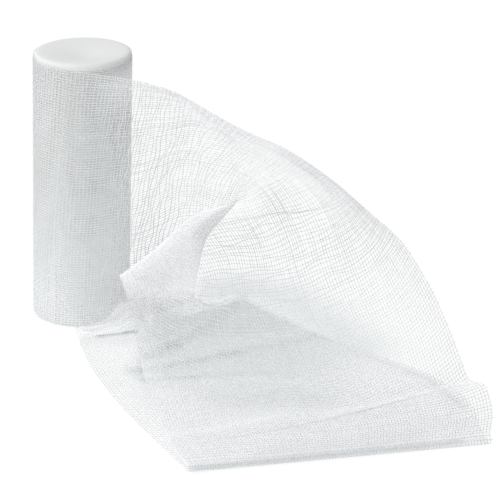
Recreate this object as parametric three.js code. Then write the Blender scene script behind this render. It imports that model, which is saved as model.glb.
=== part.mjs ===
// Gauze bandage: a wound roll standing on end, with its loose end pulled out, pleated and folded under.
// Millimetres, Z up. The origin is the middle of the roll's foot, X runs right and Y away from the viewer.
import * as THREE from 'three';

// Driving dimensions
const BANDAGE_WIDTH = 100;
const ROLL_RADIUS = 17.4;
const ROLL_LEAN = 2.8;
const CLOTH_THICKNESS = 1;
const CLEARANCE = 0.3;
const COTTON_WHITE = 0xf4f6f7;

// The roll's form: rounded edges, a side that spreads a little towards the rim, and a dished top
const FOOT_ROUNDING = 0.9;
const RIM_ROUNDING = 1.8;
const RIM_SPREAD = 0.3;
const SPREAD_LOW = 0.3 * BANDAGE_WIDTH;
const SPREAD_HIGH = 0.8 * BANDAGE_WIDTH;
const DISH_DEPTH = 1.8;
const DISH_RADIUS = 12.5;
const DISH_FLOOR_RADIUS = 7.5;
const ROLL_SIDES = 64;
const PROFILE_STEPS = 7;

// Heights of the cloth's middle: on the table, and over the layer that is folded under
const HALF_CLOTH = CLOTH_THICKNESS / 2;
const ON_TABLE = HALF_CLOTH;
const LAYER_GAP = 1;
const OVER_LAYER = ON_TABLE + CLOTH_THICKNESS + LAYER_GAP;
const WRAP_RADIUS = ROLL_RADIUS + RIM_SPREAD + 2 * CLEARANCE + HALF_CLOTH;

// Each section below is a line across the cloth, from its lower edge (foot) to its upper edge (head).
// Last turn on the roll: angle about the roll, and height of the upper edge, which sinks below the rim
const turnSections = [
  { angle: -120, top: 99.3 },
  { angle: -102, top: 98.9 },
  { angle: -84, top: 98.3 },
];

// Upright cloth beside the roll, and the pleat in it
const pleatSections = [
  { at: 'right of the roll', foot: [18.5, -11.5, 0.6], low: [19, -13.6, 25], middle: [19.4, -15.7, 49],
    high: [19.8, -17.8, 73], head: [20.2, -19.8, 96.5] },
  { at: 'before the pleat', foot: [31, -2, 0.6], low: [32, -9, 24], middle: [33.5, -16, 48],
    high: [34.8, -22.5, 72], head: [35.8, -29, 95] },
  { at: 'inner fold, behind', foot: [40.5, 6, 0.6], low: [43, -11, 22], middle: [46.5, -26, 41],
    high: [54.5, -41, 63], head: [50, -39, 90] },
  { at: 'inner fold, in front', foot: [40.5, 2, 2], low: [43, -15, 21.5], middle: [46.5, -30, 40],
    high: [58.5, -45.5, 64.5], head: [58, -43.5, 87] },
  { at: 'between the folds', foot: [29, -10, 12], low: [36, -22.5, 29], middle: [44.5, -34, 46],
    high: [61, -49, 66], head: [66, -48, 84.6] },
  { at: 'outer fold, behind', foot: [15.5, -22, 23], low: [28.5, -30, 36.5], middle: [42.5, -38, 52.5],
    high: [63, -53, 67], head: [73, -52, 83] },
  { at: 'outer fold, in front', foot: [16.5, -25.5, 22], low: [29.5, -33.5, 35], middle: [44, -42, 51.5],
    high: [66, -56, 66], head: [80, -54.5, 79.5] },
];

// Cloth that slopes down over the under layer to its ripple and front fold: a straight line, moved by
// bow at its middle
const slopeSections = [
  { at: 'below the pleat', foot: [19.5, -26, 11], head: [92, -58, 71.6], bow: [0, -2, -2] },
  { at: 'pleat meets table', foot: [21.5, -37, 2.6], head: [103, -62.5, 63], bow: [0, -1, -2] },
  { at: 'upper slope', foot: [23.5, -54, OVER_LAYER], head: [113, -68, 55.4], bow: [0, 0, -2] },
  { at: 'middle slope', foot: [28, -76, OVER_LAYER], head: [122, -75, 43.4], bow: [0, 0, -2] },
  { at: 'lower slope', foot: [31.5, -95, OVER_LAYER], head: [129.5, -79, 28], bow: [0, 0, -2] },
  { at: 'foot of the slope', foot: [34, -108, OVER_LAYER], head: [134, -80.5, 16.5], bow: [0, 0, -3] },
  { at: 'trough', foot: [36, -116, OVER_LAYER], head: [136.8, -81.5, 10], bow: [0, 0, -3.5] },
  { at: 'ripple', foot: [38, -122.5, 3.8], head: [141.5, -88.5, 10.8], bow: [0, 0, -1] },
  { at: 'before the front fold', foot: [40, -128, 4.2], head: [143.3, -99.5, 6], bow: [0, 0, 0.3] },
  { at: 'front fold, above', foot: [42, -132.3, 3.6], head: [141.6, -112, 3.6], bow: [0, 0, 0] },
];

// Under layer, which runs back on the table from the front fold
const underSections = [
  { at: 'front fold, nose', foot: [42.6, -133.8, 2.05], head: [142.1, -113.5, 2.05], bow: [0, 0, 0] },
  { at: 'front fold, below', foot: [42, -132.3, ON_TABLE], head: [141.6, -112, ON_TABLE], bow: [0, 0, 0] },
  { at: 'under layer, front', foot: [37, -122, ON_TABLE], head: [139.3, -99, ON_TABLE], bow: [0, 0, 0] },
  { at: 'under layer, bend', foot: [27, -102, ON_TABLE], head: [138, -83, ON_TABLE], bow: [0, 0, 0] },
  { at: 'under layer, middle', foot: [16, -78, ON_TABLE], head: [127, -60, ON_TABLE], bow: [0, 0, 0] },
  { at: 'under layer, back', foot: [6.5, -52, ON_TABLE], head: [103, -37, ON_TABLE], bow: [0, 0, 0] },
  { at: 'before the cut end', foot: [1.5, -33, ON_TABLE], head: [80, -13, ON_TABLE], bow: [0, -1.5, 0] },
];

// Cut end, pushed up into a crumple against the roll's foot
const cutSections = [
  { at: 'cut end', foot: [-1, -22.5, 3], low: [10, -21, 5.5], middle: [20, -16.5, 7],
    high: [38, -4, 1.5], head: [60, 12, ON_TABLE] },
];

const LEVELS = [0, 0.25, 0.5, 0.75, 1];
const STEPS_PER_SECTION = 3;
const STEPS_ACROSS = 22;

const leanAt = (height) => (ROLL_LEAN * height) / BANDAGE_WIDTH;

// A section of the last turn: a line up the roll, following its lean
function turnLine({ angle, top }) {
  const turned = THREE.MathUtils.degToRad(angle);
  return LEVELS.map((level) => {
    const height = THREE.MathUtils.lerp(HALF_CLOTH, top, level);
    return new THREE.Vector3(
      WRAP_RADIUS * Math.cos(turned) + leanAt(height),
      WRAP_RADIUS * Math.sin(turned),
      height,
    );
  });
}

function placedLine({ foot, low, middle, high, head }) {
  return [foot, low, middle, high, head].map((place) => new THREE.Vector3(...place));
}

function bowedLine({ foot, head, bow }) {
  const start = new THREE.Vector3(...foot);
  const end = new THREE.Vector3(...head);
  const sway = new THREE.Vector3(...bow);
  return LEVELS.map((level) => start.clone().lerp(end, level).addScaledVector(sway, 4 * level * (1 - level)));
}

// Middle surface of the loose end: smooth curves along the cloth at each level, then a curve across it.
// No point lies lower than what the cloth rests on there.
function clothSurface() {
  const resting = (sections, toLine, rest) => sections.map((section) => ({ line: toLine(section), rest }));
  const sections = [
    ...resting(turnSections, turnLine, ON_TABLE),
    ...resting(pleatSections, placedLine, ON_TABLE),
    ...resting(slopeSections, bowedLine, OVER_LAYER),
    ...resting(underSections, bowedLine, ON_TABLE),
    ...resting(cutSections, placedLine, ON_TABLE),
  ];
  const smooth = (points) => new THREE.CatmullRomCurve3(points, false, 'centripetal');
  const along = LEVELS.map((level, column) => smooth(sections.map(({ line }) => line[column])));
  const stations = (sections.length - 1) * STEPS_PER_SECTION;
  const surface = [];
  for (let station = 0; station <= stations; station += 1) {
    const across = smooth(along.map((curve) => curve.getPoint(station / stations)));
    const row = Math.min(Math.floor(station / STEPS_PER_SECTION), sections.length - 2);
    const share = station / STEPS_PER_SECTION - row;
    const rest = THREE.MathUtils.lerp(sections[row].rest, sections[row + 1].rest, share);
    const points = across.getPoints(STEPS_ACROSS);
    points.forEach((point) => point.setZ(Math.max(point.z, rest)));
    surface.push(points);
  }
  return surface;
}

// Outward directions of a surface of points, from the neighbours on each side
function surfaceNormals(surface) {
  const lastRow = surface.length - 1;
  const lastColumn = surface[0].length - 1;
  return surface.map((points, row) => points.map((point, column) => {
    const before = surface[Math.max(row - 1, 0)][column];
    const after = surface[Math.min(row + 1, lastRow)][column];
    const below = points[Math.max(column - 1, 0)];
    const above = points[Math.min(column + 1, lastColumn)];
    const run = after.clone().sub(before);
    return run.cross(above.clone().sub(below)).normalize();
  }));
}

function closedMesh(name, positions, triangles) {
  const geometry = new THREE.BufferGeometry();
  geometry.setAttribute('position', new THREE.Float32BufferAttribute(positions, 3));
  geometry.setIndex(triangles);
  geometry.computeVertexNormals();
  const material = new THREE.MeshStandardMaterial({ color: COTTON_WHITE, roughness: 0.9 });
  const mesh = new THREE.Mesh(geometry, material);
  mesh.name = name;
  return mesh;
}

// The loose end as one sheet: both faces of the surface, joined round their edges
function looseEnd() {
  const surface = clothSurface();
  const normals = surfaceNormals(surface);
  const lastRow = surface.length - 1;
  const lastColumn = surface[0].length - 1;
  const positions = [];
  for (const side of [1, -1]) {
    surface.forEach((points, row) => points.forEach((point, column) => {
      const moved = point.clone().addScaledVector(normals[row][column], side * HALF_CLOTH);
      positions.push(moved.x, moved.y, Math.max(moved.z, 0));
    }));
  }
  const triangles = [];
  const quad = (a, b, c, d) => triangles.push(a, b, c, a, c, d);
  const front = (row, column) => row * (lastColumn + 1) + column;
  const back = (row, column) => front(lastRow + 1 + row, column);
  for (let row = 0; row < lastRow; row += 1) {
    for (let column = 0; column < lastColumn; column += 1) {
      quad(front(row, column), front(row + 1, column), front(row + 1, column + 1), front(row, column + 1));
      quad(back(row, column), back(row, column + 1), back(row + 1, column + 1), back(row + 1, column));
    }
    quad(front(row, 0), back(row, 0), back(row + 1, 0), front(row + 1, 0));
    const [upper, next] = [front(row, lastColumn), front(row + 1, lastColumn)];
    quad(upper, next, back(row + 1, lastColumn), back(row, lastColumn));
  }
  for (let column = 0; column < lastColumn; column += 1) {
    quad(front(0, column), front(0, column + 1), back(0, column + 1), back(0, column));
    const [near, far] = [back(lastRow, column), back(lastRow, column + 1)];
    quad(front(lastRow, column), near, far, front(lastRow, column + 1));
  }
  return closedMesh('loose_end', positions, triangles);
}

// Half of the roll's upright section, from the middle of its foot to the middle of its dished top
function rollProfile() {
  const outline = new THREE.Path();
  const rim = ROLL_RADIUS + RIM_SPREAD;
  outline.moveTo(0, 0);
  outline.lineTo(ROLL_RADIUS - FOOT_ROUNDING, 0);
  outline.quadraticCurveTo(ROLL_RADIUS, 0, ROLL_RADIUS, FOOT_ROUNDING);
  outline.bezierCurveTo(ROLL_RADIUS, SPREAD_LOW, ROLL_RADIUS, SPREAD_HIGH, rim, BANDAGE_WIDTH - RIM_ROUNDING);
  outline.quadraticCurveTo(rim, BANDAGE_WIDTH, rim - RIM_ROUNDING, BANDAGE_WIDTH);
  const dishFloor = BANDAGE_WIDTH - DISH_DEPTH;
  outline.bezierCurveTo(DISH_RADIUS, BANDAGE_WIDTH, DISH_FLOOR_RADIUS, dishFloor, 0, dishFloor);
  return outline.getPoints(PROFILE_STEPS);
}

// The wound roll as one solid, turned from its profile and leaning a little towards its loose end
function roll() {
  const profile = rollProfile();
  const inner = profile.slice(1, -1);
  const positions = [0, 0, profile[0].y];
  for (const { x: radius, y: height } of inner) {
    for (let side = 0; side < ROLL_SIDES; side += 1) {
      const angle = (2 * Math.PI * side) / ROLL_SIDES;
      positions.push(radius * Math.cos(angle) + leanAt(height), radius * Math.sin(angle), height);
    }
  }
  const topHeight = profile[profile.length - 1].y;
  positions.push(leanAt(topHeight), 0, topHeight);
  const top = positions.length / 3 - 1;
  const ring = (level, side) => 1 + level * ROLL_SIDES + (side % ROLL_SIDES);
  const triangles = [];
  for (let side = 0; side < ROLL_SIDES; side += 1) {
    triangles.push(0, ring(0, side + 1), ring(0, side));
    for (let level = 0; level < inner.length - 1; level += 1) {
      const [a, b] = [ring(level, side), ring(level, side + 1)];
      const [c, d] = [ring(level + 1, side + 1), ring(level + 1, side)];
      triangles.push(a, b, c, a, c, d);
    }
    triangles.push(top, ring(inner.length - 1, side), ring(inner.length - 1, side + 1));
  }
  return closedMesh('roll', positions, triangles);
}

const part = new THREE.Group();
part.name = 'gauze_bandage_roll';
part.add(roll(), looseEnd());

export default part;
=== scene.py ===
"""Gauze bandage roll: its looks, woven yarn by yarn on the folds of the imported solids."""

import math

import bpy
import numpy as np
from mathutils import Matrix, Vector


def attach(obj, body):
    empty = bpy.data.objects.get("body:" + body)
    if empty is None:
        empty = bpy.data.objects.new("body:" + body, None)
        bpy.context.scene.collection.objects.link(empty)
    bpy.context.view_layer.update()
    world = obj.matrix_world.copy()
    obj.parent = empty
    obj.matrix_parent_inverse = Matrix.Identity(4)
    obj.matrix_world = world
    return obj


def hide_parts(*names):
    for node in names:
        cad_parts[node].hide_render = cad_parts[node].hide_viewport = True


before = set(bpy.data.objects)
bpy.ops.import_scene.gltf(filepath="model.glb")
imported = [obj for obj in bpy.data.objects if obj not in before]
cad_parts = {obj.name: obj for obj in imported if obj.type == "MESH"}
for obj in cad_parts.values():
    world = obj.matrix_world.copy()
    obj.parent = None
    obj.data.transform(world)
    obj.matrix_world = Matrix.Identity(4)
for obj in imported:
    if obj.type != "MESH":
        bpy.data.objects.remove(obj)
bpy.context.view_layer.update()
scene = bpy.context.scene

# Camera
# It looks from the front and a little above, about a metre away through a long lens, as in the photograph.
# The place, in metres, and the tilt come from the roll's two round ends, whose size is known.
CAMERA_PLACE = (0.0622, -0.9, 0.3925)
CAMERA_TILT_DOWN = math.radians(22.276)
SENSOR_MM = 36.0
LENS_MM = 191.37

camera_data = bpy.data.cameras.new("camera")
camera_data.sensor_width = SENSOR_MM
camera_data.lens = LENS_MM
camera_data.clip_end = 10.0
camera = bpy.data.objects.new("camera", camera_data)
camera.location = CAMERA_PLACE
camera.rotation_euler = (math.pi / 2 - CAMERA_TILT_DOWN, 0, 0)
scene.collection.objects.link(camera)
scene.camera = camera

# Lie of the loose end
# The free end of the strip, one layer of open cotton gauze with a self-edge on both sides. It leaves the
# roll, stands on its lower edge, is pleated once, slopes down, and is folded under at the front.
# Sizes are in millimetres.
MM = 0.001
BANDAGE_WIDTH = 100.0
ROLL_LEAN = 2.8
WRAP_RADIUS = 17.75

# Heights of the cloth on the table and over its under layer, and how softly it settles on that layer
ON_TABLE = 0.5
OVER_LAYER = 2.5
SETTLE = 1.2

# Each section is a line across the cloth: five points from its lower edge (foot) to its upper edge (head)
LEVELS = np.array([0, 0.25, 0.5, 0.75, 1])

# Last turn on the roll: angle in degrees, height of the upper edge
TURN_SECTIONS = [(-120, 98.6), (-102, 98.5), (-84, 98.2)]

# Upright cloth and its pleat: foot, low, middle, high, head
PLEAT_SECTIONS = [
    [(18.5, -11.5, 0.6), (19, -13.6, 25), (19.4, -15.7, 49), (19.8, -17.8, 73), (20.2, -19.8, 96.5)],
    [(31, -2, 0.6), (32, -9, 24), (33.5, -16, 48), (34.8, -22.5, 72), (35.8, -29, 95)],
    [(40.5, 6, 0.6), (43, -11, 22), (46.5, -26, 41), (54.5, -41, 63), (50, -39, 90)],
    [(40.5, 2, 2), (43, -15, 21.5), (46.5, -30, 40), (58.5, -45.5, 64.5), (58, -43.5, 87)],
    [(29, -10, 12), (36, -22.5, 29), (44.5, -34, 46), (61, -49, 66), (66, -48, 84.6)],
    [(15.5, -22, 23), (28.5, -30, 36.5), (42.5, -38, 52.5), (63, -53, 67), (73, -52, 83)],
    [(16.5, -25.5, 22), (29.5, -33.5, 35), (44, -42, 51.5), (66, -56, 66), (80, -54.5, 79.5)],
]

# Slope down to the front fold: foot, head, bow at the middle
SLOPE_SECTIONS = [
    ((19.5, -26, 11), (92, -58, 71.6), (0, -2, -2)),
    ((21.5, -37, 2.6), (103, -62.5, 63), (0, -1, -2)),
    ((23.5, -54, OVER_LAYER), (113, -68, 55.4), (0, 0, -2)),
    ((28, -76, OVER_LAYER), (122, -75, 43.4), (0, 0, -2)),
    ((31.5, -95, OVER_LAYER), (129.5, -79, 28), (0, 0, -2)),
    ((34, -108, OVER_LAYER), (134, -80.5, 16.5), (0, 0, -3)),
    ((36, -116, OVER_LAYER), (136.8, -81.5, 10), (0, 0, -3.5)),
    ((38, -122.5, 3.8), (141.5, -88.5, 10.8), (0, 0, -1)),
    ((40, -128, 4.2), (143.3, -99.5, 6), (0, 0, 0.3)),
    ((42, -132.3, 3.6), (141.6, -112, 3.6), (0, 0, 0)),
]

# Under layer, back along the table from the nose of the front fold: foot, head, bow at the middle
UNDER_SECTIONS = [
    ((42.6, -133.8, 2.05), (142.1, -113.5, 2.05), (0, 0, 0)),
    ((42, -132.3, ON_TABLE), (141.6, -112, ON_TABLE), (0, 0, 0)),
    ((37, -122, ON_TABLE), (139.3, -99, ON_TABLE), (0, 0, 0)),
    ((27, -102, ON_TABLE), (138, -83, ON_TABLE), (0, 0, 0)),
    ((16, -78, ON_TABLE), (127, -60, ON_TABLE), (0, 0, 0)),
    ((6.5, -52, ON_TABLE), (103, -37, ON_TABLE), (0, 0, 0)),
    ((1.5, -33, ON_TABLE), (80, -13, ON_TABLE), (0, -1.5, 0)),
]

# Cut end, crumpled up against the roll's foot: foot, low, middle, high, head
CUT_SECTIONS = [
    [(-1, -22.5, 3), (10, -21, 5.5), (20, -16.5, 7), (38, -4, 1.5), (60, 12, ON_TABLE)],
]


def lean_at(height):
    return ROLL_LEAN * height / BANDAGE_WIDTH


def around_roll(angle, height, radius):
    """Points on the roll's side, at angles in degrees and heights in millimetres."""
    turned = np.radians(angle)
    return np.stack([radius * np.cos(turned) + lean_at(height), radius * np.sin(turned), height], axis=-1)


def bowed_line(foot, head, bow):
    level = LEVELS[:, None]
    foot, head, bow = np.array(foot), np.array(head), np.array(bow)
    return foot + (head - foot) * level + bow * 4 * level * (1 - level)


def smooth_through(points, places):
    """Centripetal Catmull-Rom curve through the points, at places counted in points from 0."""
    points = np.asarray(points, float)
    last = len(points) - 1
    held = np.concatenate([[2 * points[0] - points[1]], points, [2 * points[-1] - points[-2]]])
    start = np.clip(np.floor(places).astype(int), 0, last - 1)
    share = (places - start).reshape((-1,) + (1,) * (held.ndim - 1))
    p0, p1, p2, p3 = (held[start + step] for step in range(4))
    spans = ((p0, p1), (p1, p2), (p2, p3))
    d0, d1, d2 = (np.sum((b - a) ** 2, axis=-1, keepdims=True) ** 0.25 for a, b in spans)
    leave = ((p1 - p0) / d0 - (p2 - p0) / (d0 + d1) + (p2 - p1) / d1) * d1
    arrive = ((p2 - p1) / d1 - (p3 - p1) / (d1 + d2) + (p3 - p2) / d2) * d1
    bend = 3 * (p2 - p1) - 2 * leave - arrive
    twist = 2 * (p1 - p2) + leave + arrive
    return p1 + leave * share + bend * share ** 2 + twist * share ** 3


sections = [around_roll(np.full(len(LEVELS), angle), ON_TABLE + (top - ON_TABLE) * LEVELS, WRAP_RADIUS)
            for angle, top in TURN_SECTIONS]
sections += [np.array(line, float) for line in PLEAT_SECTIONS]
sections += [bowed_line(*line) for line in SLOPE_SECTIONS + UNDER_SECTIONS]
sections += [np.array(line, float) for line in CUT_SECTIONS]
slope_start = len(TURN_SECTIONS) + len(PLEAT_SECTIONS)
rests = np.full(len(sections), ON_TABLE)
rests[slope_start:slope_start + len(SLOPE_SECTIONS)] = OVER_LAYER

# Rows along the cloth are counted in sections
LEAVES_ROLL = len(TURN_SECTIONS) - 1
FRONT_FOLD = slope_start + len(SLOPE_SECTIONS)
CUT_END = len(sections) - 1
STEPS_A_SECTION = 50
STEPS_ACROSS = 200
rows = np.linspace(0, CUT_END, CUT_END * STEPS_A_SECTION + 1)
across = np.linspace(0, 1, STEPS_ACROSS + 1)
level_lines = smooth_through(np.array(sections), rows)
cloth = np.moveaxis(smooth_through(np.moveaxis(level_lines, 1, 0), across * (len(LEVELS) - 1)), 0, 1)
rest_height = np.interp(rows, np.arange(len(rests)), rests)[:, None]
softness = np.interp(rest_height, [ON_TABLE, OVER_LAYER], [0, SETTLE])
cloth[..., 2] = (cloth[..., 2] + rest_height + np.hypot(cloth[..., 2] - rest_height, softness)) / 2

# Soft folds of the cloth that lies down: rise in millimetres, half width, how far the weave closes up there,
# then the crest as (row, place across)
CREST_STEPS = 12
ROWS_BESIDE_CREST = 0.9
SOFT_FOLDS = [
    (2.4, 4.0, 0, [(11.9, 0), (11.7, 0.04), (11.75, 0.13), (11.7, 0.18), (11.6, 0.26), (11.5, 0.33),
                   (11.2, 0.42)]),
    (2.2, 3.5, 0, [(12.1, 0), (12.4, 0.08), (12.55, 0.18), (12.75, 0.32), (12.95, 0.47), (13.2, 0.64)]),
    (-1.2, 3.0, 0, [(12.5, 0), (12.75, 0.07), (13.0, 0.16), (13.4, 0.32), (13.75, 0.46)]),
    (1.0, 5.0, 0.3, [(15.5, 0.02), (15.65, 0.07), (15.7, 0.16), (15.4, 0.25), (15.3, 0.4), (15.75, 0.53),
                     (16.2, 0.68), (16.45, 0.9)]),
    (2.6, 2.2, 0, [(26.45, 0.04), (26.5, 0.17), (26.4, 0.23), (26.45, 0.34)]),
    (-1.5, 2.0, 0, [(26.7, 0.1), (26.75, 0.2), (26.7, 0.3)]),
    (2.0, 2.4, 0, [(26.1, 0.3), (26.4, 0.42), (26.7, 0.52)]),
    (4.5, 5.0, 0.45, [(26.98, 0.4), (26.98, 0.5), (26.98, 0.64), (26.98, 0.78)]),
]
closed_up = np.zeros(cloth.shape[:2])
for fold_rise, half_width, closing, crest in SOFT_FOLDS:
    marks = np.linspace(0, len(crest) - 1, CREST_STEPS * len(crest))
    crest_row, crest_place = (np.interp(marks, np.arange(len(crest)), column) for column in np.array(crest).T)
    first = max(int((crest_row.min() - ROWS_BESIDE_CREST) * STEPS_A_SECTION), 0)
    last = min(int((crest_row.max() + ROWS_BESIDE_CREST) * STEPS_A_SECTION), len(rows))
    i = np.round(crest_row * STEPS_A_SECTION).astype(int)
    j = np.round(crest_place * STEPS_ACROSS).astype(int)
    from_crest = np.full((last - first, STEPS_ACROSS + 1), np.inf)
    for crest_point in cloth[i, j]:
        from_crest = np.minimum(from_crest, np.linalg.norm(cloth[first:last] - crest_point, axis=2))
    swell = np.exp(-(from_crest / half_width) ** 2)
    closed_up[first:last] = np.maximum(closed_up[first:last], closing * swell)
    cloth[first:last, :, 2] += fold_rise * swell
cloth[..., 2] = np.maximum(cloth[..., 2], ON_TABLE)

cloth_out = np.cross(np.gradient(cloth, axis=0), np.gradient(cloth, axis=1))
cloth_out /= np.linalg.norm(cloth_out, axis=2, keepdims=True)
run = np.linalg.norm(np.diff(cloth, axis=0), axis=2).cumsum(axis=0)
run = np.concatenate([np.zeros((1, STEPS_ACROSS + 1)), run])

# Weave of the loose end
# A plain weave of single, loosely twisted cotton yarns: warps along the strip, and wefts across it.
# It is open and shifts easily, so the warps crowd at the upper edge by the pleat, and the wefts wander.
WARP_COUNT = 104
YARN_WIDTH = 0.265
ROLL_WARP_WIDTH = 0.28
ROLL_WEFT_WIDTH = 0.2
LYING_YARN_WIDTH = 0.215
YARN_THICKNESS = 0.1
YARN_LIFT = 0.06
YARN_SIDES = 4
COTTON = (0.815, 0.827, 0.835)

# Thick and thin places of a yarn: size, crossings to a wave, number of waves, how far apart yarns may start,
# then the least and the most plumpness, and the darkest and the palest tone
SLUB_SIZE = 0.12
SLUB_STEPS = 5
SLUB_WAVES = 6
SLUB_SHIFT = 50
PLUMPNESS = (0.6, 1.5)
TONES = (0.9, 1.08)

# Where some warps lie across the width: row, then the warps at 0.2, 0.4, 0.6, 0.8 and 0.92 of the count
WARP_SHARES = (0, 0.2, 0.4, 0.6, 0.8, 0.92, 1)
WARP_PLACES = [
    (0.0, 0.20, 0.40, 0.60, 0.80, 0.92),
    (2.5, 0.20, 0.40, 0.60, 0.80, 0.92),
    (3.5, 0.215, 0.43, 0.635, 0.835, 0.945),
    (4.0, 0.245, 0.48, 0.685, 0.87, 0.962),
    (4.35, 0.28, 0.55, 0.755, 0.925, 0.98),
    (4.7, 0.33, 0.615, 0.81, 0.95, 0.982),
    (6.0, 0.35, 0.64, 0.825, 0.955, 0.983),
    (8.0, 0.34, 0.60, 0.795, 0.955, 0.983),
    (9.5, 0.33, 0.56, 0.76, 0.945, 0.98),
    (10.5, 0.29, 0.51, 0.715, 0.915, 0.972),
    (11.5, 0.25, 0.45, 0.655, 0.86, 0.955),
    (12.4, 0.225, 0.42, 0.62, 0.82, 0.935),
    (13.5, 0.205, 0.405, 0.605, 0.805, 0.925),
    (14.5, 0.20, 0.40, 0.60, 0.80, 0.92),
    (27.0, 0.20, 0.40, 0.60, 0.80, 0.92),
]

# Where some wefts lie: number, then length of cloth from the roll at foot, low, middle, high and head
WEFT_PLACES = [
    (-8, -13.5, -12.6, -11, -9, -6.5),
    (0, -2.2, -1.5, 0, 2, 5),
    (18, 15, 16.5, 19.5, 23.4, 28.5),
    (30.5, 31, 33, 36.5, 41.8, 53),
    (36, 37, 40, 44.5, 50, 66),
    (47.5, 46, 50, 57, 67.5, 80),
    (61.5, 58, 66, 76.5, 89, 102),
    (67, 66, 74, 85, 97.8, 109),
    (76.5, 78, 88, 100, 113, 120),
    (85, 86, 98, 114.5, 126, 129.5),
    (95, 104, 119.5, 132.5, 138.5, 141),
    (107.5, 128, 140, 149.5, 153, 157),
]
WEFTS_TO_FOLD = 150
WEFTS_TO_END = 232
WEFT_END_REACH = 0.7

# How far the yarns may wander: row of the warp or number of the weft, share
WARP_SLACK = [(2, 0.3), (3.2, 1), (10, 1), (13, 0.12)]
WEFT_SLACK = [(2, 0.3), (8, 1), (85, 1), (110, 0.12)]

# How they wander: waves across the width, rows or wefts to a wave, size in yarn spacings, number of waves
WARP_WANDER = [(9, 4, 0.3, 14), (40, 2, 0.12, 10)]
WEFT_WANDER = [(4, 9, 0.3, 16), (9, 2.2, 0.24, 12)]

# A pinched crease on the slope, where wefts have slid together: place across, length of cloth from the roll
BUNCHED_WEFTS = [(0.5, 76), (0.52, 76.5), (0.63, 80.5), (0.72, 87), (0.82, 95.5), (0.87, 99), (0.92, 102.5),
                 (0.96, 105)]
BUNCH_PULL = 0.88
BUNCH_REACH = 3.8
BUNCH_FADE = 0.08

# How far a place stays from the last line of a grid, and the rounds in which the crossings settle
JUST_INSIDE = 0.001
CROSSING_ROUNDS = 16

chance = np.random.default_rng(11)


def read_off(table, places):
    """Values at places between the lines of a table of (place, value)."""
    marks, values = np.array(table, float).T
    return np.interp(places, marks, values)


def eased(marks, values, places):
    """Smooth curve through a table: marks rise down it, and values have a line for each mark."""
    marks, values = np.asarray(marks, float), np.asarray(values, float)
    steps = np.diff(marks)[:, None]
    slopes = np.diff(values, axis=0) / steps
    inner = (slopes[:-1] * steps[1:] + slopes[1:] * steps[:-1]) / (steps[:-1] + steps[1:])
    bends = np.concatenate([slopes[:1], inner, slopes[-1:]])
    i = np.clip(np.searchsorted(marks, places, side="right") - 1, 0, len(marks) - 2)
    h = steps[i]
    t = (places[:, None] - marks[i][:, None]) / h
    start = values[i] * (1 + 2 * t) * (1 - t) ** 2 + h * bends[i] * t * (1 - t) ** 2
    finish = values[i + 1] * t ** 2 * (3 - 2 * t) - h * bends[i + 1] * t ** 2 * (1 - t)
    return start + finish


def ripples(rise, run_on, size, waves):
    """Soft random waves over two measures of place, which together are about as high as the size."""
    out = 0
    for _ in range(waves):
        along, up = chance.uniform(-1, 1), chance.uniform(0.3, 1)
        out = out + np.sin(2 * np.pi * (along * run_on + up * rise + chance.uniform()))
    return size * out / math.sqrt(waves)


def between(grid, row, place):
    """Values of a grid over the cloth, at rows and places across it."""
    r = np.clip(row * STEPS_A_SECTION, 0, len(rows) - 1 - JUST_INSIDE)
    c = np.clip(place * STEPS_ACROSS, 0, STEPS_ACROSS - JUST_INSIDE)
    i, j = r.astype(int), c.astype(int)
    a, b = r - i, c - j
    if grid.ndim == 3:
        a, b = a[..., None], b[..., None]
    near = grid[i, j] * (1 - b) + grid[i, j + 1] * b
    far = grid[i + 1, j] * (1 - b) + grid[i + 1, j + 1] * b
    return near * (1 - a) + far * a


# Places of the warps at every row
warp_share = (np.arange(WARP_COUNT) + 0.5) / WARP_COUNT
warp_table = np.array(WARP_PLACES)
table_edge = np.zeros((len(warp_table), 1))
marked = np.concatenate([table_edge, warp_table[:, 1:], table_edge + 1], axis=1)
marked_at = eased(warp_table[:, 0], marked, rows)
warp_at = eased(WARP_SHARES, marked_at.T, warp_share).T
warp_slack = np.gradient(warp_at, axis=1) * read_off(WARP_SLACK, rows)[:, None]
for over_width, to_a_wave, size, waves in WARP_WANDER:
    wander = ripples(warp_share[None, :] * over_width, rows[:, None] / to_a_wave, size, waves)
    warp_at += warp_slack * wander

# Rows of the wefts at every place across
weft_table = np.array(WEFT_PLACES, float)
leave_run = run[LEAVES_ROLL * STEPS_A_SECTION]
weft_marks = eased(LEVELS, weft_table[:, 1:].T, across).T
fold_run = run[FRONT_FOLD * STEPS_A_SECTION]
weft_marks = np.concatenate([weft_marks, [fold_run - leave_run, run[-1] - leave_run]])
numbers = np.concatenate([weft_table[:, 0], [WEFTS_TO_FOLD, WEFTS_TO_END]])
weft_number = np.arange(numbers[0] + 0.5, numbers[-1])
weft_count = len(weft_number)
weft_length = eased(numbers, weft_marks, weft_number)
weft_slack = np.gradient(weft_length, axis=0) * read_off(WEFT_SLACK, weft_number)[:, None]
for over_width, to_a_wave, size, waves in WEFT_WANDER:
    wander = ripples(across[None, :] * over_width, weft_number[:, None] / to_a_wave, size, waves)
    weft_length += weft_slack * wander
from_bunch = weft_length - read_off(BUNCHED_WEFTS, across)
bunch_start, bunch_end = BUNCHED_WEFTS[0][0], BUNCHED_WEFTS[-1][0]
hold = np.clip(np.minimum(across - bunch_start, bunch_end - across) / BUNCH_FADE, 0, 1)
weft_length -= BUNCH_PULL * hold * from_bunch * np.exp(-(from_bunch / BUNCH_REACH) ** 2)
weft_row = np.stack([np.interp(weft_length[:, j] + leave_run[j], run[:, j], rows)
                     for j in range(STEPS_ACROSS + 1)], axis=1)


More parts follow.
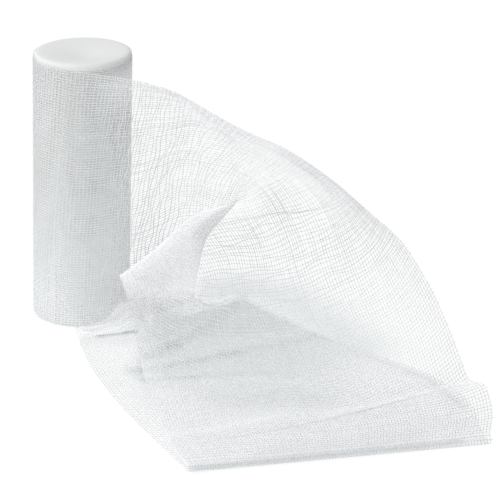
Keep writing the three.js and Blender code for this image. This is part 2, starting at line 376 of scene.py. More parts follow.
def crossings():
    """Row and place across of every crossing, with a line for each weft and a column for each warp."""
    weft = np.arange(weft_count)[:, None]
    warp = np.arange(WARP_COUNT)[None, :]
    place = np.broadcast_to(warp_share, (weft_count, WARP_COUNT)).copy()
    for _ in range(CROSSING_ROUNDS):
        c = np.clip(place * STEPS_ACROSS, 0, STEPS_ACROSS - JUST_INSIDE)
        j = c.astype(int)
        row = weft_row[weft, j] * (1 - c + j) + weft_row[weft, j + 1] * (c - j)
        r = np.clip(row * STEPS_A_SECTION, 0, len(rows) - 1 - JUST_INSIDE)
        i = r.astype(int)
        found = warp_at[i, warp] * (1 - r + i) + warp_at[i + 1, warp] * (r - i)
        place = (place + found) / 2
    return row, np.clip(place, 0, 1)


def over_and_under(wefts):
    """Which yarn is on the outside at each crossing of a plain weave: 1 for the warp, -1 for the weft."""
    return np.where((np.arange(wefts)[:, None] + np.arange(WARP_COUNT)) % 2 == 0, 1.0, -1.0)


def mark_points(mesh, name, values):
    """A number for each point of the mesh, which its material reads by this name."""
    layer = mesh.attributes.new(name, "FLOAT", "POINT")
    layer.data.foreach_set("value", np.asarray(values, np.float32).reshape(-1))


def read_points(material, name, *sockets):
    """Feeds sockets of the material with the number that each point of the mesh has under this name."""
    marks = material.node_tree.nodes.new("ShaderNodeAttribute")
    marks.attribute_name = name
    for socket in sockets:
        material.node_tree.links.new(marks.outputs["Fac"], socket)


def yarns(name, paths, outward, width, material, uneven=1.0, bleach=0.0, glow=0.0):
    """Yarns as one mesh of flattened tubes, along paths whose outward side is given. All in millimetres."""
    count, steps = paths.shape[:2]
    ahead = np.gradient(paths, axis=1)
    ahead /= np.maximum(np.linalg.norm(ahead, axis=2, keepdims=True), 1e-9)
    side = np.cross(ahead, outward)
    side /= np.maximum(np.linalg.norm(side, axis=2, keepdims=True), 1e-9)
    up = np.cross(side, ahead)
    turn = 2 * np.pi * np.arange(YARN_SIDES) / YARN_SIDES
    width = np.broadcast_to(width, (count, steps))[..., None, None]
    along = np.arange(steps)[None, :] / SLUB_STEPS + chance.uniform(0, SLUB_SHIFT, (count, 1))
    slubs = chance.normal(0, SLUB_SIZE, (count, 1))
    slubs = slubs + ripples(np.zeros((count, 1)), along, SLUB_SIZE, SLUB_WAVES)
    plump = np.clip(1 + uneven * slubs, *PLUMPNESS)
    ring = (np.cos(turn)[:, None] * side[:, :, None] * width / 2
            + np.sin(turn)[:, None] * up[:, :, None] * YARN_THICKNESS / 2)
    points = paths[:, :, None] + ring * plump[..., None, None]
    index = np.arange(count * steps * YARN_SIDES).reshape(count, steps, YARN_SIDES)
    after = np.roll(index, -1, axis=2)
    corners = np.stack([index[:, :-1], after[:, :-1], after[:, 1:], index[:, 1:]], axis=-1).reshape(-1)
    mesh = bpy.data.meshes.new(name)
    mesh.vertices.add(count * steps * YARN_SIDES)
    mesh.vertices.foreach_set("co", (points * MM).astype(np.float32).reshape(-1))
    mesh.loops.add(len(corners))
    mesh.loops.foreach_set("vertex_index", corners.astype(np.int32))
    mesh.polygons.add(len(corners) // 4)
    mesh.polygons.foreach_set("loop_start", np.arange(0, len(corners), 4, dtype=np.int32))
    tone = np.broadcast_to(chance.normal(0, 1, (count, 1)) + bleach, (count, steps))
    mark_points(mesh, "tone", np.repeat(tone, YARN_SIDES))
    mark_points(mesh, "glow", np.repeat(np.broadcast_to(glow, (count, steps)), YARN_SIDES))
    mesh.update(calc_edges=True)
    mesh.validate()
    mesh.materials.append(material)
    piece = bpy.data.objects.new(name, mesh)
    scene.collection.objects.link(piece)
    return piece


def cotton_yarn(name, colour):
    """Matte cotton, a little uneven from yarn to yarn and along each yarn, with the painted glow that each
    point carries.
    """
    material = bpy.data.materials.new(name)
    material.use_nodes = True
    nodes, links = material.node_tree.nodes, material.node_tree.links
    shader = nodes["Principled BSDF"]
    shader.inputs["Roughness"].default_value = 0.95
    shader.inputs["Specular IOR Level"].default_value = 0.2
    shader.inputs["Emission Color"].default_value = (*colour, 1)
    read_points(material, "glow", shader.inputs["Emission Strength"])
    place = nodes.new("ShaderNodeTexCoord")
    slubs = nodes.new("ShaderNodeTexNoise")
    slubs.inputs["Scale"].default_value = 400
    links.new(place.outputs["Object"], slubs.inputs["Vector"])
    sum_up = nodes.new("ShaderNodeMath")
    sum_up.operation = "MULTIPLY_ADD"
    sum_up.inputs[1].default_value = 0.12
    read_points(material, "tone", sum_up.inputs[0])
    links.new(slubs.outputs["Fac"], sum_up.inputs[2])
    ramp = nodes.new("ShaderNodeValToRGB")
    dark, pale = ramp.color_ramp.elements
    dark.position = 0.2
    dark.color = (*[TONES[0] * c for c in colour], 1)
    pale.position = 0.8
    pale.color = (*[min(TONES[1] * c, 1) for c in colour], 1)
    links.new(sum_up.outputs["Value"], ramp.inputs["Fac"])
    links.new(ramp.outputs["Color"], shader.inputs["Base Color"])
    return material


# Painted glow for the light that is scattered on through the layers of the pleat: upper edge of that patch
# as (row, place across), lower edge as (place across, row), and where it starts as (row, share)
PLEAT_GLOW = 0.08
PLEAT_EDGE = [(8.4, 0.64), (9.0, 0.56), (9.25, 0.45), (9.9, 0.37), (11.2, 0.22)]
PLEAT_EDGE_FADE = 0.06
PLEAT_FOOT = [(0, 9.65), (0.2, 10.25), (0.35, 10.8)]
PLEAT_FOOT_FADE = 0.6
PLEAT_START = [(5.2, 0), (5.8, 1)]
below_edge = read_off(PLEAT_EDGE, rows)[:, None] - across[None, :]
above_foot = read_off(PLEAT_FOOT, across)[None, :] - rows[:, None]
pleat_cover = np.clip(below_edge / PLEAT_EDGE_FADE + 0.5, 0, 1)
pleat_cover *= np.clip(above_foot / PLEAT_FOOT_FADE + 0.5, 0, 1)
pleat_glow = PLEAT_GLOW * pleat_cover * read_off(PLEAT_START, rows)[:, None]

# Painted glow on the roll, for the light that the table and the open cloth throw back on it: most at the
# foot, some at the right, and more in the upper corner there, with a darker band below it. The tables hold
# millimetres and shares
FOOT_GLOW = 0.1
RIGHT_GLOW = 0.045
RIGHT_OF_AXIS = [(4, 0), (16, 1)]
BELOW_RIM = [(94, 1), (98, 0)]
CORNER_GLOW = 0.075
CORNER_HEIGHTS = [(79, 0), (89, 1)]
DARK_BAND = 0.8
DARK_HEIGHT = 76
DARK_REACH = 9


def roll_glow(points):
    height = points[..., 2]
    to_right = read_off(RIGHT_OF_AXIS, points[..., 0] - lean_at(height)) * read_off(BELOW_RIM, height)
    to_corner = to_right * read_off(CORNER_HEIGHTS, height)
    dark = DARK_BAND * np.exp(-((height - DARK_HEIGHT) / DARK_REACH) ** 2)
    from_foot = np.clip(height / BANDAGE_WIDTH, 0, 1)
    return FOOT_GLOW * (1 - from_foot) + RIGHT_GLOW * to_right * (1 - dark) + CORNER_GLOW * to_corner


# How the yarns change along the strip: row, then width, unevenness, paleness, or share of the roll's painted
# glow
ROLL_BLEACH = 5.0
OPEN_WIDTHS = [(3, YARN_WIDTH), (11, YARN_WIDTH), (14, LYING_YARN_WIDTH)]
UNEVENNESS = [(2, 0.4), (3.2, 1), (11, 1), (13.5, 0.3)]
PALE_ON_ROLL = [(2, ROLL_BLEACH), (3.2, 0)]
GLOW_ON_ROLL = [(2.4, 1), (3.2, 0)]
LYING_UNEVENNESS = 0.4

# Spots where the yarns are drawn thin and pale: row, place across, reach along, reach across, share taken off
FINE_BLEACH = 8.0
FINE_PLACES = [
    (4.6, 0.45, 0.8, 0.2, 0.12),
    (7.2, 0.9, 2.0, 0.16, 0.3),
    (8.8, 0.66, 0.6, 0.07, 0.45),
    (9.5, 0.91, 0.9, 0.09, 0.35),
    (14.2, 0.8, 1.5, 0.22, 0.4),
]

# Self-edge beside the pleat, drawn paler and with a painted highlight as a glow: row, share, and place
# across, share
HEM_GLOW = 0.03
HEM_BLEACH = 2.0
HEM_ROWS = [(3.8, 0), (4.6, 1), (9.6, 1), (10.8, 0)]
HEM_PLACES = [(0.92, 0), (0.95, 1)]

# Painted highlight on the ridge above the front fold, as a glow: place across, row
RIDGE_GLOW = 0.13
RIDGE_REACH = 0.3
RIDGE = [(0.02, 15.4), (0.16, 15.6), (0.4, 15.25), (0.53, 15.65), (0.68, 16.1), (0.92, 16.4)]

# Under layer: paler towards its cut end, with a painted glow on the crest of the crumple and where cloth
# covers it
CREST_GLOW = 0.08
CREST_ROWS = [(26.1, 0), (26.4, CREST_GLOW)]
CREST_PLACES = [(0.4, 1), (0.5, 0)]
PALE_AT_CUT_END = [(24.8, 0), (25.6, ROLL_BLEACH)]
COVERED_GLOW = 0.1
COVERED_FADE = 2.0
CRUMPLED_FROM = 25.8

open_gauze = cotton_yarn("open_gauze_cotton", COTTON)
cross_row, cross_place = crossings()
over = over_and_under(weft_count)
points = between(cloth, cross_row, cross_place)
outward = between(cloth_out, cross_row, cross_place)
warp_paths = points + outward * (YARN_LIFT * over)[..., None]
weft_paths = points - outward * (YARN_LIFT * over)[..., None]
foot_reach = chance.uniform(0, WEFT_END_REACH, (weft_count, 1))
weft_paths[:, 0] += foot_reach * (weft_paths[:, 0] - weft_paths[:, 1])
head_reach = chance.uniform(0, WEFT_END_REACH, (weft_count, 1))
weft_paths[:, -1] += head_reach * (weft_paths[:, -1] - weft_paths[:, -2])

warp_width = read_off([(2, ROLL_WARP_WIDTH), *OPEN_WIDTHS], cross_row)
weft_width = read_off([(2, ROLL_WEFT_WIDTH), *OPEN_WIDTHS], cross_row)
uneven = read_off(UNEVENNESS, cross_row)
bleach = read_off(PALE_ON_ROLL, cross_row)
for row, place, reach_along, reach_across, share in FINE_PLACES:
    there = np.exp(-((cross_row - row) / reach_along) ** 2 - ((cross_place - place) / reach_across) ** 2)
    warp_width *= 1 - share * there
    weft_width *= 1 - share * there
    bleach += FINE_BLEACH * share * there
in_hem = read_off(HEM_ROWS, cross_row) * read_off(HEM_PLACES, cross_place)
bleach += HEM_BLEACH * in_hem
from_ridge = cross_row - read_off(RIDGE, cross_place)
glow = between(pleat_glow, cross_row, cross_place)
glow += roll_glow(points) * read_off(GLOW_ON_ROLL, cross_row)
glow += HEM_GLOW * in_hem
glow += RIDGE_GLOW * np.exp(-(from_ridge / RIDGE_REACH) ** 2)

# The front fold parts the yarns into those of the upper cloth and those of the under layer
fold = int(np.argmax(weft_number > WEFTS_TO_FOLD))
under_row, under_place = cross_row[fold:], cross_place[fold:]
under_bleach = read_off(PALE_AT_CUT_END, under_row)
cover_edge = np.array([foot for foot, head, bow in SLOPE_SECTIONS[1:]])
past_edge = points[fold:, :, 0] - np.interp(-points[fold:, :, 1], -cover_edge[:, 1], cover_edge[:, 0])
under_glow = read_off(CREST_ROWS, under_row) * read_off(CREST_PLACES, under_place)
under_glow += COVERED_GLOW * np.clip(past_edge / COVERED_FADE, 0, 1) * (under_row < CRUMPLED_FROM)

warp_lines, warp_sides = np.moveaxis(warp_paths, 0, 1), np.moveaxis(outward, 0, 1)
to_fold = slice(0, fold + 1)
upper_warps = yarns("upper_warps", warp_lines[:, to_fold], warp_sides[:, to_fold], warp_width[to_fold].T,
                    open_gauze, uneven[to_fold].T, bleach[to_fold].T, glow[to_fold].T)
under_warps = yarns("under_warps", warp_lines[:, fold:], warp_sides[:, fold:], LYING_YARN_WIDTH, open_gauze,
                    LYING_UNEVENNESS, under_bleach.T, under_glow.T)
upper_wefts = yarns("upper_wefts", weft_paths[:fold], outward[:fold], weft_width[:fold],
                    open_gauze, uneven[:fold], bleach[:fold], glow[:fold])
under_wefts = yarns("under_wefts", weft_paths[fold:], outward[fold:], LYING_YARN_WIDTH, open_gauze,
                    LYING_UNEVENNESS, under_bleach, under_glow)
weave = [upper_warps, under_warps, upper_wefts, under_wefts]

# Frayed threads
# Ends of warps stick out of the cut edge, and a few threads that have come loose lie by the roll's foot.
# They are the same cotton yarns, held by the weave or by the cloth that lies on them.
FRAY_STEPS = 6
FRAY_LENGTHS = (0.5, 3.5)
FRAY_STRAY = 0.25
BEFORE_CUT_END = 0.1
LOWEST_FRAY = 0.3
FRAY_OUTWARD = (0.0, -0.6, 0.8)

# Threads that have come loose: start, middle, end
LOOSE_THREADS = [
    [(18.5, -3, 3), (23, -2, 3.5), (27.5, -1.5, 2.5)],
    [(18.5, -5, 2), (22, -4.5, 2.8), (25.5, -4.2, 1.5)],
    [(19, -1, 4.5), (24, 0.5, 4.2), (29, 1, 2)],
    [(13, -16, 6), (17, -11, 8.5), (20, -7, 7)],
    [(15, -15, 6), (18.5, -11, 9), (22.5, -8.5, 8)],
    [(10, -19, 5), (14, -15, 7.5), (16.5, -12, 8.5)],
]
near_end, at_end = (between(cloth, np.full(WARP_COUNT, row), cross_place[-1])
                    for row in (CUT_END - BEFORE_CUT_END, float(CUT_END)))
ahead = at_end - near_end
ahead /= np.linalg.norm(ahead, axis=1, keepdims=True)
fray_length = chance.uniform(*FRAY_LENGTHS, (WARP_COUNT, 1, 1))
stray = chance.normal(0, FRAY_STRAY, (WARP_COUNT, 1, 3))
share = np.linspace(0, 1, FRAY_STEPS)[None, :, None]
fringe = warp_paths[-1][:, None] + fray_length * (ahead[:, None] * share + stray * share ** 2)
fringe[..., 2] = np.maximum(fringe[..., 2], LOWEST_FRAY)
loose = np.array(LOOSE_THREADS, float)[:, :, None]
strands = loose[:, 0] * (1 - share) ** 2 + 2 * loose[:, 1] * share * (1 - share) + loose[:, 2] * share ** 2
frays = np.concatenate([fringe, strands])
fray_out = np.broadcast_to(np.array(FRAY_OUTWARD), frays.shape)
frayed_threads = yarns("frayed_threads", frays, fray_out, LYING_YARN_WIDTH, open_gauze)
weave.append(frayed_threads)

# Fibre fuzz of the loose end
# Loose cotton fibres span the openings of the weave as a faint veil over the whole strip. It is denser where
# the weave has closed up: in the pleat, along the upper edge that is rolled over, and where the cloth lies.
FUZZ_COTTON = (0.92, 0.925, 0.94)
FUZZ_ROW_STEP = 5
# How strongly the veil carries the pleat's painted glow
FUZZ_GLOW = 1.3

# Where two dense places meet, this share of the thinner one is added to the other
TWICE_MATTED = 0.5

# Lower edge beside the roll: first row, last row, place of its upper limit, how dense it is
MATTED_PATCHES = [(2.6, 5.6, 0.24, 0.55)]
PATCH_ROW_FADE = 0.5
PATCH_FADE = 0.08

# Upper edge, rolled over beside the pleat: row, width in millimetres, how dense it is
ROLLED_EDGE = [
    (3.7, 0.1, 0), (4.6, 1.2, 0.4), (5.4, 1.9, 0.6), (6.2, 2.0, 0.6), (7.0, 1.2, 0.3),
    (7.8, 1.4, 0.4), (8.6, 2.4, 0.7), (9.4, 2.6, 0.65), (10.4, 1.6, 0.3), (11.9, 0.3, 0),
]
ROLLED_EDGE_FADE = 0.7

# The pleat and its front: row, how dense it is
PLEAT_MATTED = [(5.2, 0), (5.8, 0.75), (8.2, 0.75), (8.7, 0.45)]

# Cloth that lies down: height, share, then row, share, then row, how dense it is
LYING_HEIGHTS = [(4.0, 1), (9.0, 0)]
LYING_START = [(11, 0), (12.2, 1)]
LYING_MATTED = [(FRONT_FOLD - 1, 0.4), (FRONT_FOLD, 0.12), (25, 0.12), (25.6, 0)]


def sheet_faces(lines, columns):
    """Four-sided faces of a grid of points that are given line by line."""
    index = np.arange(lines * columns).reshape(lines, columns)
    return np.stack([index[:-1, :-1], index[1:, :-1], index[1:, 1:], index[:-1, 1:]], axis=-1).reshape(-1, 4)


veil = cloth[::FUZZ_ROW_STEP]
mesh = bpy.data.meshes.new("loose_end_fuzz")
mesh.from_pydata((veil * MM).reshape(-1, 3).tolist(), [], sheet_faces(*veil.shape[:2]).tolist())
mesh.polygons.foreach_set("use_smooth", np.ones(len(mesh.polygons), bool))
veil_row, veil_place = rows[::FUZZ_ROW_STEP, None], across[None, :]
edge_row, edge_width, edge_dense = np.array(ROLLED_EDGE).T
in_edge = np.interp(veil_row, edge_row, edge_width) - (1 - veil_place) * BANDAGE_WIDTH
matted = np.interp(veil_row, edge_row, edge_dense) * np.clip(in_edge / ROLLED_EDGE_FADE + 0.5, 0, 1)
matted = np.maximum(matted, closed_up[::FUZZ_ROW_STEP])
for first, last, top, dense in MATTED_PATCHES:
    along_patch = np.clip(np.minimum(veil_row - first, last - veil_row) / PATCH_ROW_FADE, 0, 1)
    matted = np.maximum(matted, dense * along_patch * np.clip((top - veil_place) / PATCH_FADE, 0, 1))
matted = np.maximum(matted, read_off(PLEAT_MATTED, veil_row) * pleat_cover[::FUZZ_ROW_STEP])
lies_down = read_off(LYING_HEIGHTS, veil[..., 2]) * read_off(LYING_START, veil_row)
lies_down *= read_off(LYING_MATTED, veil_row)
matted = np.maximum(matted, lies_down) + TWICE_MATTED * np.minimum(matted, lies_down)
mark_points(mesh, "matted", matted)
mark_points(mesh, "glow", FUZZ_GLOW * pleat_glow[::FUZZ_ROW_STEP])

fuzz_look = bpy.data.materials.new("fibre_fuzz")
fuzz_look.use_nodes = True
nodes, links = fuzz_look.node_tree.nodes, fuzz_look.node_tree.links
shader = nodes["Principled BSDF"]
shader.inputs["Base Color"].default_value = (*FUZZ_COTTON, 1)
shader.inputs["Roughness"].default_value = 1.0
shader.inputs["Emission Color"].default_value = (*FUZZ_COTTON, 1)
read_points(fuzz_look, "glow", shader.inputs["Emission Strength"])
place = nodes.new("ShaderNodeTexCoord")
tufts = nodes.new("ShaderNodeTexNoise")
tufts.inputs["Scale"].default_value = 160
tufts.inputs["Detail"].default_value = 4
links.new(place.outputs["Object"], tufts.inputs["Vector"])
thin = nodes.new("ShaderNodeMapRange")
thin.inputs["From Min"].default_value = 0.35
thin.inputs["From Max"].default_value = 0.75
thin.inputs["To Min"].default_value = 0.0
thin.inputs["To Max"].default_value = 0.07
links.new(tufts.outputs["Fac"], thin.inputs["Value"])
cover = nodes.new("ShaderNodeMath")
cover.operation = "ADD"
links.new(thin.outputs["Result"], cover.inputs[0])
read_points(fuzz_look, "matted", cover.inputs[1])
links.new(cover.outputs["Value"], shader.inputs["Alpha"])
mesh.materials.append(fuzz_look)
loose_end_fuzz = bpy.data.objects.new("loose_end_fuzz", mesh)
scene.collection.objects.link(loose_end_fuzz)
for piece in (loose_end_fuzz, *weave):
    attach(piece, "root")
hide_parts("loose_end")

# Wound roll
# The rest of the strip, wound up tight: a firm roll whose ends show the edges of its many turns.
# The top is pushed in a little, its rim is soft, and the whole roll leans towards its loose end.
# The roll's body is drawn a darker grey than its yarns, as painted shade of the deeper turns seen between
# them
WOUND_COTTON = (0.735, 0.742, 0.728)
# Colour of the painted glow on the roll, as of light thrown back from the table
TABLE_LIGHT = (0.71, 0.735, 0.78)
CORE_RADIUS = 17.2
AXIS_RADIUS = 0.01
ROLL_SIDES = 192

# The top carries a painted glow above one height, so that it shows lighter than the side.
# It rises and tilts with height, and is dented above another height
TOP_GLOW = 0.095
TOP_FROM = 98.5
TOP_SWELL = [(90, 0), (100, 1)]
TOP_RISE = 0.5
TOP_TILT = 0.35
DENT_PLACE = (4, -3)
DENT_REACH = 8.0
DENT_DEPTH = 0.9
DENT_FROM = 99.0

# Half section of the roll, from the middle of its foot to the middle of its top: radius, height
PROFILE_POINTS = 121
ROLL_PROFILE = [
    (0, 0.2), (16.2, 0.2), (16.9, 0.6), (CORE_RADIUS, 1.6), (CORE_RADIUS, 50), (17.35, 97), (17.25, 98.8),
    (16.8, 99.6), (15.8, 99.9), (12.5, 99.9), (8, 99.7), (4, 99.5), (0, 99.4),
]
profile = smooth_through(ROLL_PROFILE, np.linspace(0, len(ROLL_PROFILE) - 1, PROFILE_POINTS))
angle = np.linspace(0, 360, ROLL_SIDES, endpoint=False)
wall = np.stack([around_roll(angle, np.full(ROLL_SIDES, z), max(r, AXIS_RADIUS)) for r, z in profile])
wall[..., 2] += read_off(TOP_SWELL, wall[..., 2]) * (TOP_RISE - TOP_TILT * wall[..., 1] / CORE_RADIUS)
from_dent = (wall[..., :2] - np.array(DENT_PLACE)) / DENT_REACH
dent = DENT_DEPTH * np.exp(-(from_dent ** 2).sum(axis=-1))
wall[..., 2] -= np.where(wall[..., 2] > DENT_FROM, dent, 0)
index = np.arange(PROFILE_POINTS * ROLL_SIDES).reshape(PROFILE_POINTS, ROLL_SIDES)
after = np.roll(index, -1, axis=1)
corners = np.stack([index[:-1], after[:-1], after[1:], index[1:]], axis=-1).reshape(-1, 4)
mesh = bpy.data.meshes.new("wound_roll")
mesh.from_pydata((wall.reshape(-1, 3) * MM).tolist(), [], corners.tolist())
mesh.polygons.foreach_set("use_smooth", np.ones(len(mesh.polygons), bool))
mark_points(mesh, "glow", np.where(wall[..., 2] > TOP_FROM, TOP_GLOW, roll_glow(wall)))
wound_gauze = bpy.data.materials.new("wound_gauze_cotton")
wound_gauze.use_nodes = True
shader = wound_gauze.node_tree.nodes["Principled BSDF"]
shader.inputs["Base Color"].default_value = (*WOUND_COTTON, 1)
shader.inputs["Roughness"].default_value = 1.0
shader.inputs["Specular IOR Level"].default_value = 0.1
shader.inputs["Emission Color"].default_value = (*TABLE_LIGHT, 1)
read_points(wound_gauze, "glow", shader.inputs["Emission Strength"])
mesh.materials.append(wound_gauze)
wound_roll = bpy.data.objects.new("wound_roll", mesh)
scene.collection.objects.link(wound_roll)
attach(wound_roll, "root")
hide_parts("roll")

# Last turns
# The two outer layers of the roll, which run on into the loose end: the same weave, round the roll twice.
# Their wefts lean a little, since the strip was pulled up as it was wound.
TURN_COUNT = 2
TURN_WEFT_PITCH = 1.4
INNER_RADIUS = 17.3
ROLL_UNEVENNESS = 0.4

# Angles in degrees: how far before the loose end the turns start and stop, lean of a weft, uneven spacing
TURN_SPAN = 714
TURN_GAP = 3
TURN_LEAN = 22
TURN_UNEVEN = 0.15

# How the wefts sway: waves across the width, wefts to a wave, size in degrees, number of waves
TURN_WANDER = (5, 8, 0.4, 12)

# Upper edge of the turns: angle before the loose end, height
TURN_TOPS = [(-370, 99.9), (-340, 98.4), (0, TURN_SECTIONS[0][1])]
turn_wefts = int(2 * TURN_COUNT * np.pi * WRAP_RADIUS / TURN_WEFT_PITCH)
from_loose_end = np.linspace(-TURN_SPAN, -TURN_GAP, turn_wefts)
from_loose_end += chance.normal(0, TURN_UNEVEN, turn_wefts)
turn_top = read_off(TURN_TOPS, from_loose_end)
turn_radius = read_off([(-TURN_SPAN, INNER_RADIUS), (0, WRAP_RADIUS)], from_loose_end)[:, None]
turn_height = ON_TABLE + (turn_top - ON_TABLE)[:, None] * warp_at[0][None, :]
turn_lift = YARN_LIFT * over_and_under(turn_wefts)
over_width, to_a_wave, size, waves = TURN_WANDER
turn_sway = ripples(warp_share[None, :] * over_width, np.arange(turn_wefts)[:, None] / to_a_wave, size, waves)
turn_angles = TURN_SECTIONS[0][0] + from_loose_end[:, None] + turn_sway
turn_angles += TURN_LEAN * (warp_share[None, :] - 0.5)
turn_out = around_roll(turn_angles, np.zeros_like(turn_height), 1.0)
turn_warp_paths = around_roll(turn_angles, turn_height, turn_radius + turn_lift)
turn_warp_paths = np.concatenate([turn_warp_paths, warp_paths[:1]])
turn_weft_paths = around_roll(turn_angles, turn_height, turn_radius - turn_lift)
warp_turn_out = np.concatenate([turn_out, outward[:1]])
last_warps = yarns("last_turn_warps", np.moveaxis(turn_warp_paths, 0, 1), np.moveaxis(warp_turn_out, 0, 1),
                   ROLL_WARP_WIDTH, open_gauze, ROLL_UNEVENNESS, ROLL_BLEACH, roll_glow(turn_warp_paths).T)
last_wefts = yarns("last_turn_wefts", turn_weft_paths, turn_out,
                   ROLL_WEFT_WIDTH, open_gauze, ROLL_UNEVENNESS, ROLL_BLEACH, roll_glow(turn_weft_paths))
for piece in (last_warps, last_wefts):
    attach(piece, "root")

# Table
# A plain white surface that runs out of sight on every side and shines as pure white where no shade is
# painted.
# Less light would get in under the cloth that lies down and behind the cloth that stands, so a soft shade is
# painted there.
TABLE_REACH = 4000.0
TABLE_HEIGHT = -0.2
TABLE_BOUNCE = 0.78

# Fine grid that carries the shade: step, range along x and along y, fade at an edge, and the shade's tint
SHADE_STEP = 1.0
SHADE_ALONG_X = (-12, 151)
SHADE_ALONG_Y = (-141, 62)
SHADE_FADE = 2.0
SHADE_TINT = (0.87, 0.965, 1.0)

# Shade under the doubled cloth: depth, then where it starts and where it is full, from three sides
BACK_SHADE = 0.34
BACK_FROM_FRONT = (-105, -15)
BACK_FROM_LEFT = (18, 32)
BACK_FROM_RIGHT = (115, 75)

# Sheltered corner between the roll, the pleat and the cut end: middle, reach, depth
CORNER_MIDDLE = (33, -12)
CORNER_REACH = (16, 11)
CORNER_SHADE = 0.3

# Soft shadow behind the cloth that stands: depth, half width, line in millimetres
BEHIND_SHADE = 0.17
BEHIND_HALF_WIDTH = 14.0
BEHIND_LINE = [(42, 18), (60, 20), (74, 13), (85, -7), (100, -33)]

# Painted shade in strips below the soft folds: depth, half width, then the line in millimetres
SHADE_STRIPS = [
    (0.22, 3.2, [(25, -44), (28, -39), (34, -32)]),
    (0.10, 3.5, [(34, -32), (44, -17), (50, -8), (56, 6)]),
    (0.22, 2.4, [(25, -52), (32, -50), (42, -45), (57, -38)]),
    (0.08, 2.4, [(57, -38), (73, -30), (91, -22)]),
    (0.20, 4.0, [(22, -53), (27, -55), (33, -55)]),
    (0.32, 1.8, [(26, -60.5), (33, -59.5), (43, -58.5)]),
    (0.10, 1.6, [(43, -58.5), (60, -55.5), (75, -54.5)]),
    (0.17, 9.0, [(52, -78), (68, -79), (86, -80)]),
    (0.16, 5.0, [(68, -117), (78, -115), (98, -111), (116, -106)]),
    (0.65, 1.8, [(8, -22.5), (11, -21.5), (15, -20.5), (20, -19)]),
    (0.08, 5.0, [(4, -26), (12, -27), (20, -25)]),
    (0.42, 2.2, [(45, -128), (65.5, -123.5), (88.5, -118.5), (111.5, -113.5), (131, -108.5)]),
    (0.20, 1.5, [(84, -19), (102, -38), (125, -61), (135, -83)]),
]
LINE_STEPS = 10
OUTLINE_ROW_STEP = 10
OUTLINE_STEP_ACROSS = 8


def eased_step(values, start, finish):
    share = np.clip((values - start) / (finish - start), 0, 1)
    return share * share * (3 - 2 * share)


def from_line(line):
    """Distance of every table spot from a line."""
    marks = np.linspace(0, len(line) - 1, LINE_STEPS * len(line))
    columns = np.array(line).T
    on_line = np.stack([np.interp(marks, np.arange(len(line)), column) for column in columns], axis=1)
    return np.linalg.norm(spots[:, None] - on_line[None], axis=2).min(axis=1)


def inside_by(outline):
    """How deep every table spot lies inside an outline, and 0 for those outside it."""
    starts, ends = outline[:-1], outline[1:]
    along = ((spots[:, None] - starts) * (ends - starts)).sum(axis=2) / ((ends - starts) ** 2).sum(axis=1)
    nearest = starts + np.clip(along, 0, 1)[..., None] * (ends - starts)
    from_outline = np.linalg.norm(spots[:, None] - nearest, axis=2).min(axis=1)
    crosses = (starts[:, 1] > spots[:, None, 1]) != (ends[:, 1] > spots[:, None, 1])
    climb = np.where(ends[:, 1] == starts[:, 1], 1, ends[:, 1] - starts[:, 1])
    meets = starts[:, 0] + (spots[:, None, 1] - starts[:, 1]) / climb * (ends[:, 0] - starts[:, 0])
    inside = (crosses & (spots[:, None, 0] < meets)).sum(axis=1) % 2 == 1
    return np.where(inside, from_outline, 0)


table_x = np.concatenate([[-TABLE_REACH], np.arange(*SHADE_ALONG_X, SHADE_STEP), [TABLE_REACH]])
table_y = np.concatenate([[-TABLE_REACH], np.arange(*SHADE_ALONG_Y, SHADE_STEP), [TABLE_REACH]])
spots = np.stack(np.meshgrid(table_x, table_y, indexing="ij"), axis=-1).reshape(-1, 2)
spot_x, spot_y = spots.T
shade = BACK_SHADE * eased_step(spot_y, *BACK_FROM_FRONT)
shade *= eased_step(spot_x, *BACK_FROM_LEFT) * eased_step(spot_x, *BACK_FROM_RIGHT)
for depth, half_width, line in SHADE_STRIPS:
    shade += depth * np.exp(-(from_line(line) / half_width) ** 2)

# That shade ends softly at the outline of the under layer
lying = cloth[FRONT_FOLD * STEPS_A_SECTION::OUTLINE_ROW_STEP, ::OUTLINE_STEP_ACROSS, :2]
outline = np.concatenate([lying[:, 0], lying[-1, 1:], lying[::-1, -1][1:], lying[0, ::-1][1:]])
shade *= eased_step(inside_by(outline), 0, SHADE_FADE)
from_corner = ((spots - np.array(CORNER_MIDDLE)) / np.array(CORNER_REACH)) ** 2
shade = np.maximum(shade, CORNER_SHADE * np.exp(-from_corner.sum(axis=1)))
shade = np.maximum(shade, BEHIND_SHADE * np.exp(-(from_line(BEHIND_LINE) / BEHIND_HALF_WIDTH) ** 2))

mesh = bpy.data.meshes.new("table_top")
table_points = [(x * MM, y * MM, TABLE_HEIGHT * MM) for x, y in spots.tolist()]
mesh.from_pydata(table_points, [], sheet_faces(len(table_x), len(table_y)).tolist())
mark_points(mesh, "reached", 1 - shade)
table_top = bpy.data.objects.new("table_top", mesh)
scene.collection.objects.link(table_top)
white = bpy.data.materials.new("white_table")
white.use_nodes = True
nodes, links = white.node_tree.nodes, white.node_tree.links
nodes.clear()
result = nodes.new("ShaderNodeOutputMaterial")
sight = nodes.new("ShaderNodeLightPath")
choose = nodes.new("ShaderNodeMixShader")
tint = nodes.new("ShaderNodeValToRGB")
tint.color_ramp.elements[0].position = 0.5
tint.color_ramp.elements[0].color = (*SHADE_TINT, 1)
seen = nodes.new("ShaderNodeEmission")
links.new(tint.outputs["Color"], seen.inputs["Color"])
read_points(white, "reached", tint.inputs["Fac"], seen.inputs["Strength"])
bounce = nodes.new("ShaderNodeEmission")
bounce.inputs["Strength"].default_value = TABLE_BOUNCE
links.new(bounce.outputs["Emission"], choose.inputs[1])
links.new(seen.outputs["Emission"], choose.inputs[2])
links.new(sight.outputs["Is Camera Ray"], choose.inputs["Fac"])
links.new(choose.outputs["Shader"], result.inputs["Surface"])
mesh.materials.append(white)

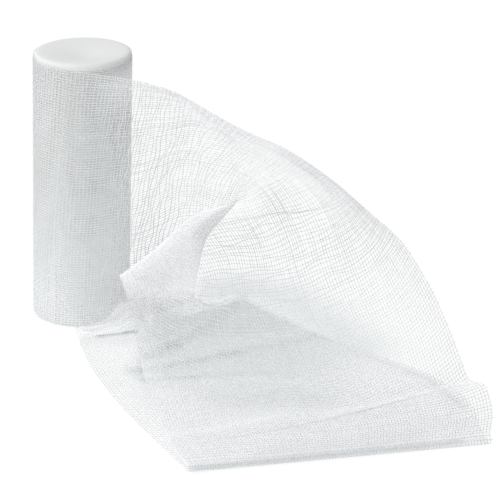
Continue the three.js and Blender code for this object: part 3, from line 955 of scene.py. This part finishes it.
# Studio light
# Soft white light from all round, strongest from the upper left and in front, as from white studio walls,
# and one soft lamp at the left and in front, which rounds the roll. Places are in metres.
SKY_COLOUR = (0.995, 1.0, 1.0)
LIGHT_FROM = Vector((-0.5, -0.2, 0.84))
LAMP_PLACE = Vector((-0.9, -0.5, 0.4))
LAMP_TARGET = Vector((0.0, 0.0, 0.05))
LAMP_SIZE = 0.7
LAMP_WATTS = 3.0

world = bpy.data.worlds.new("studio")
scene.world = world
world.use_nodes = True
nodes, links = world.node_tree.nodes, world.node_tree.links
nodes.clear()
result = nodes.new("ShaderNodeOutputWorld")
seen = nodes.new("ShaderNodeBackground")
seen.inputs["Strength"].default_value = 1.0
light = nodes.new("ShaderNodeBackground")
light.inputs["Color"].default_value = (*SKY_COLOUR, 1)
direction = nodes.new("ShaderNodeTexCoord")
toward = nodes.new("ShaderNodeVectorMath")
toward.operation = "DOT_PRODUCT"
toward.inputs[1].default_value = LIGHT_FROM
links.new(direction.outputs["Generated"], toward.inputs[0])
brighter = nodes.new("ShaderNodeMapRange")
brighter.inputs["From Min"].default_value = -0.7
brighter.inputs["To Min"].default_value = 0.0
brighter.inputs["To Max"].default_value = 1.2
links.new(toward.outputs["Value"], brighter.inputs["Value"])
links.new(brighter.outputs["Result"], light.inputs["Strength"])
sight = nodes.new("ShaderNodeLightPath")
choose = nodes.new("ShaderNodeMixShader")
links.new(sight.outputs["Is Camera Ray"], choose.inputs["Fac"])
links.new(light.outputs["Background"], choose.inputs[1])
links.new(seen.outputs["Background"], choose.inputs[2])
links.new(choose.outputs["Shader"], result.inputs["Surface"])

lamp_data = bpy.data.lights.new("left_lamp", "AREA")
lamp_data.size = LAMP_SIZE
lamp_data.energy = LAMP_WATTS
lamp = bpy.data.objects.new("left_lamp", lamp_data)
lamp.location = LAMP_PLACE
lamp.rotation_euler = (LAMP_TARGET - LAMP_PLACE).to_track_quat("-Z", "Y").to_euler()
scene.collection.objects.link(lamp)
scene.view_settings.view_transform = "Standard"
scene.cycles.max_bounces = 16
scene.cycles.diffuse_bounces = 12
